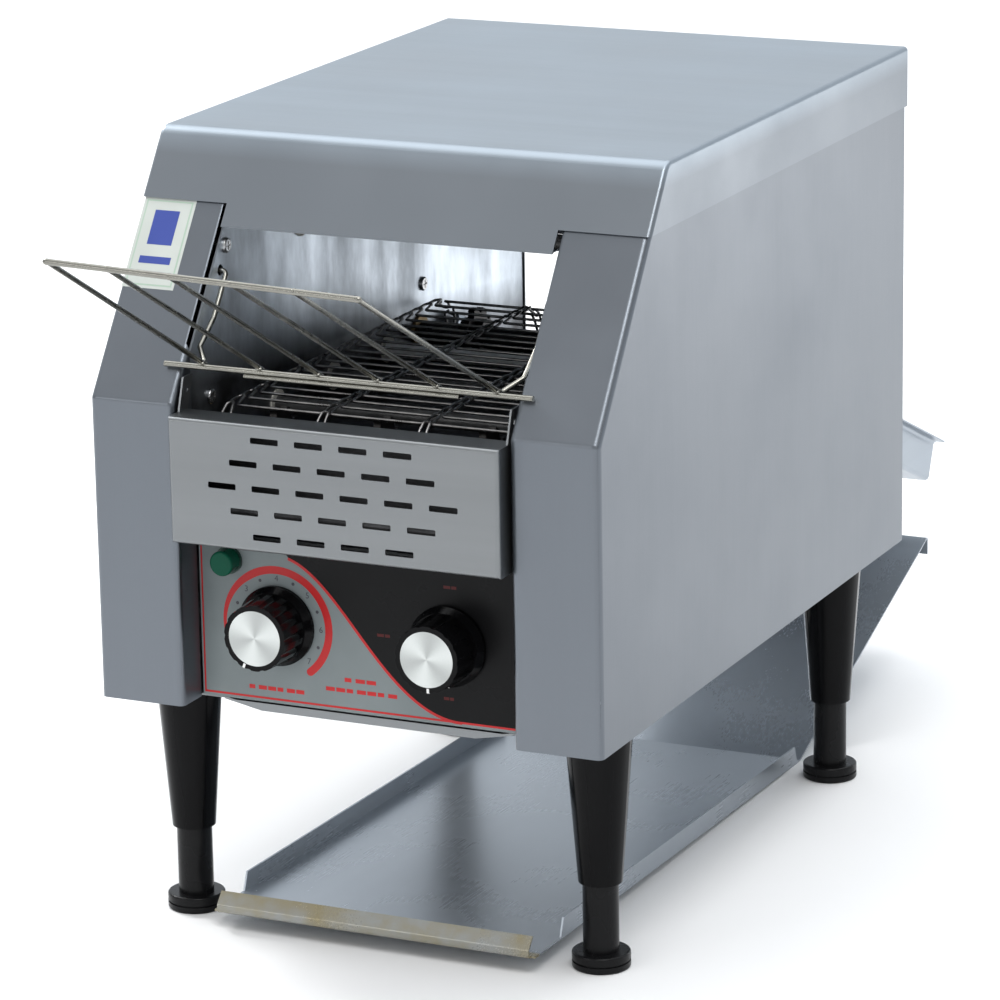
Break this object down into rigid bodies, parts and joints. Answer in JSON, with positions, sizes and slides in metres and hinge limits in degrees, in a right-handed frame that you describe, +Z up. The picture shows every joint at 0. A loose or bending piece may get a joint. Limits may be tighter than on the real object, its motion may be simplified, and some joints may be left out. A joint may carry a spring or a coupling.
{
  "type": "conveyor toaster",
  "caption": "Counter-top electric conveyor toaster: wire loading rack, wire belt between heaters, rear exit chute, toast tray underneath, legs with levelling feet.",
  "frame": {"origin": "on the table, at the middle of the whole object's length and width", "axes": "+X to the right seen from the front, +Y from the front to the rear, along the conveyor, +Z up"},
  "size_m": [0.29, 0.7896, 0.421],
  "materials": {
    "stainless_sheet": "brushed, satin",
    "galvanised_sheet": "dull, darkened by heat",
    "printed_label": "printed film in silver, black and red",
    "gloss_black": "glossy moulded",
    "spun_aluminium": "spun, radial highlight",
    "black_plastic": "satin moulded",
    "green_lens": "clear green",
    "plated_wire": "nickel plated, slightly warm",
    "belt_wire": "heat-darkened",
    "turned_steel": "turned",
    "bronze": "sintered",
    "zinc_screws": "plated",
    "motor_paint": "black paint",
    "heater_tube": "milky quartz",
    "ceramic_bush": "unglazed",
    "rubber_pad": "matt",
    "circuit_board": "green board",
    "white_nylon": "moulded"
  },
  "bodies": {
    "machine": {"left_side_panel": "stainless_sheet", "right_side_panel": "stainless_sheet", "top_cover": "stainless_sheet", "front_cover": "stainless_sheet", "control_panel": "stainless_sheet", "base_pan": "stainless_sheet", "rear_panel": "stainless_sheet", "exit_chute": "stainless_sheet", "chute_brackets": "stainless_sheet", "left_inner_wall": "galvanised_sheet", "right_inner_wall": "galvanised_sheet", "upper_reflector": "galvanised_sheet", "lower_reflector": "galvanised_sheet", "chamber_floor": "galvanised_sheet", "motor_bracket": "galvanised_sheet", "control_label": "printed_label", "legs": "gloss_black", "pilot_lamp_body": "black_plastic", "cooling_fan_frame": "black_plastic", "cable_gland": "black_plastic", "selector_switch_body": "black_plastic", "speed_control_body": "black_plastic", "pilot_lamp_lens": "green_lens", "conveyor_belt": "belt_wire", "drive_chain": "turned_steel", "leg_studs": "turned_steel", "shaft_bearings": "bronze", "cover_screws": "zinc_screws", "rear_screws": "zinc_screws", "wall_screws": "zinc_screws", "gear_motor": "motor_paint", "upper_heaters": "heater_tube", "lower_heaters": "heater_tube", "heater_holders": "ceramic_bush", "speed_board": "circuit_board", "terminal_block": "white_nylon", "board_pillars": "white_nylon", "thermal_cutout": "white_nylon"},
    "loading_rack": {"loading_rack": "plated_wire"},
    "drive_shaft": {"drive_shaft": "turned_steel", "rear_sprockets": "turned_steel", "driven_sprocket": "turned_steel"},
    "front_shaft": {"front_shaft": "turned_steel", "front_sprockets": "turned_steel"},
    "motor_shaft": {"motor_shaft": "turned_steel", "motor_sprocket": "turned_steel"},
    "speed_knob": {"speed_knob": "gloss_black", "speed_knob_cap": "spun_aluminium", "speed_spindle": "turned_steel"},
    "selector_knob": {"selector_knob": "gloss_black", "selector_knob_cap": "spun_aluminium", "selector_spindle": "turned_steel"},
    "fan_rotor": {"cooling_fan_rotor": "black_plastic"},
    "toast_tray": {"toast_tray": "stainless_sheet", "tray_pads": "rubber_pad"},
    "foot_front_left": {"levelling_foot_front_left": "black_plastic"},
    "foot_front_right": {"levelling_foot_front_right": "black_plastic"},
    "foot_rear_left": {"levelling_foot_rear_left": "black_plastic"},
    "foot_rear_right": {"levelling_foot_rear_right": "black_plastic"}
  },
  "joints": [
    {"name": "rack_lift", "type": "hinge", "parent": "machine", "child": "loading_rack", "pos_m": [0, -0.19523, 0.3526], "axis": [-1, 0, 0], "range_deg": [0, 75]},
    {"name": "drive_shaft_turn", "type": "hinge", "parent": "machine", "child": "drive_shaft", "pos_m": [0, 0.03877, 0.2668], "axis": [1, 0, 0], "continuous": true},
    {"name": "front_shaft_turn", "type": "hinge", "parent": "machine", "child": "front_shaft", "pos_m": [0, -0.20323, 0.2668], "axis": [1, 0, 0], "continuous": true},
    {"name": "motor_shaft_turn", "type": "hinge", "parent": "machine", "child": "motor_shaft", "pos_m": [0, 0.04677, 0.165], "axis": [1, 0, 0], "continuous": true},
    {"name": "speed_knob_turn", "type": "hinge", "parent": "machine", "child": "speed_knob", "pos_m": [-0.0492, -0.23123, 0.1748], "axis": [0, 1, 0], "range_deg": [0, 290]},
    {"name": "selector_knob_turn", "type": "hinge", "parent": "machine", "child": "selector_knob", "pos_m": [0.0492, -0.23123, 0.1748], "axis": [0, 1, 0], "range_deg": [0, 270]},
    {"name": "fan_spin", "type": "hinge", "parent": "machine", "child": "fan_rotor", "pos_m": [-0.05, 0.17677, 0.16], "axis": [0, 1, 0], "continuous": true},
    {"name": "tray_slide", "type": "slide", "parent": "machine", "child": "toast_tray", "axis": [0, -1, 0], "range_m": [0, 0.3]},
    {"name": "foot_front_left_screw", "type": "slide", "parent": "machine", "child": "foot_front_left", "axis": [0, 0, 1], "range_m": [0, 0.03]},
    {"name": "foot_front_right_screw", "type": "slide", "parent": "machine", "child": "foot_front_right", "axis": [0, 0, 1], "range_m": [0, 0.03]},
    {"name": "foot_rear_left_screw", "type": "slide", "parent": "machine", "child": "foot_rear_left", "axis": [0, 0, 1], "range_m": [0, 0.03]},
    {"name": "foot_rear_right_screw", "type": "slide", "parent": "machine", "child": "foot_rear_right", "axis": [0, 0, 1], "range_m": [0, 0.03]}
  ],
  "couplings": [
    {"joint": "front_shaft_turn", "follows": "drive_shaft_turn", "ratio": 1},
    {"joint": "motor_shaft_turn", "follows": "drive_shaft_turn", "ratio": 1.75}
  ]
}
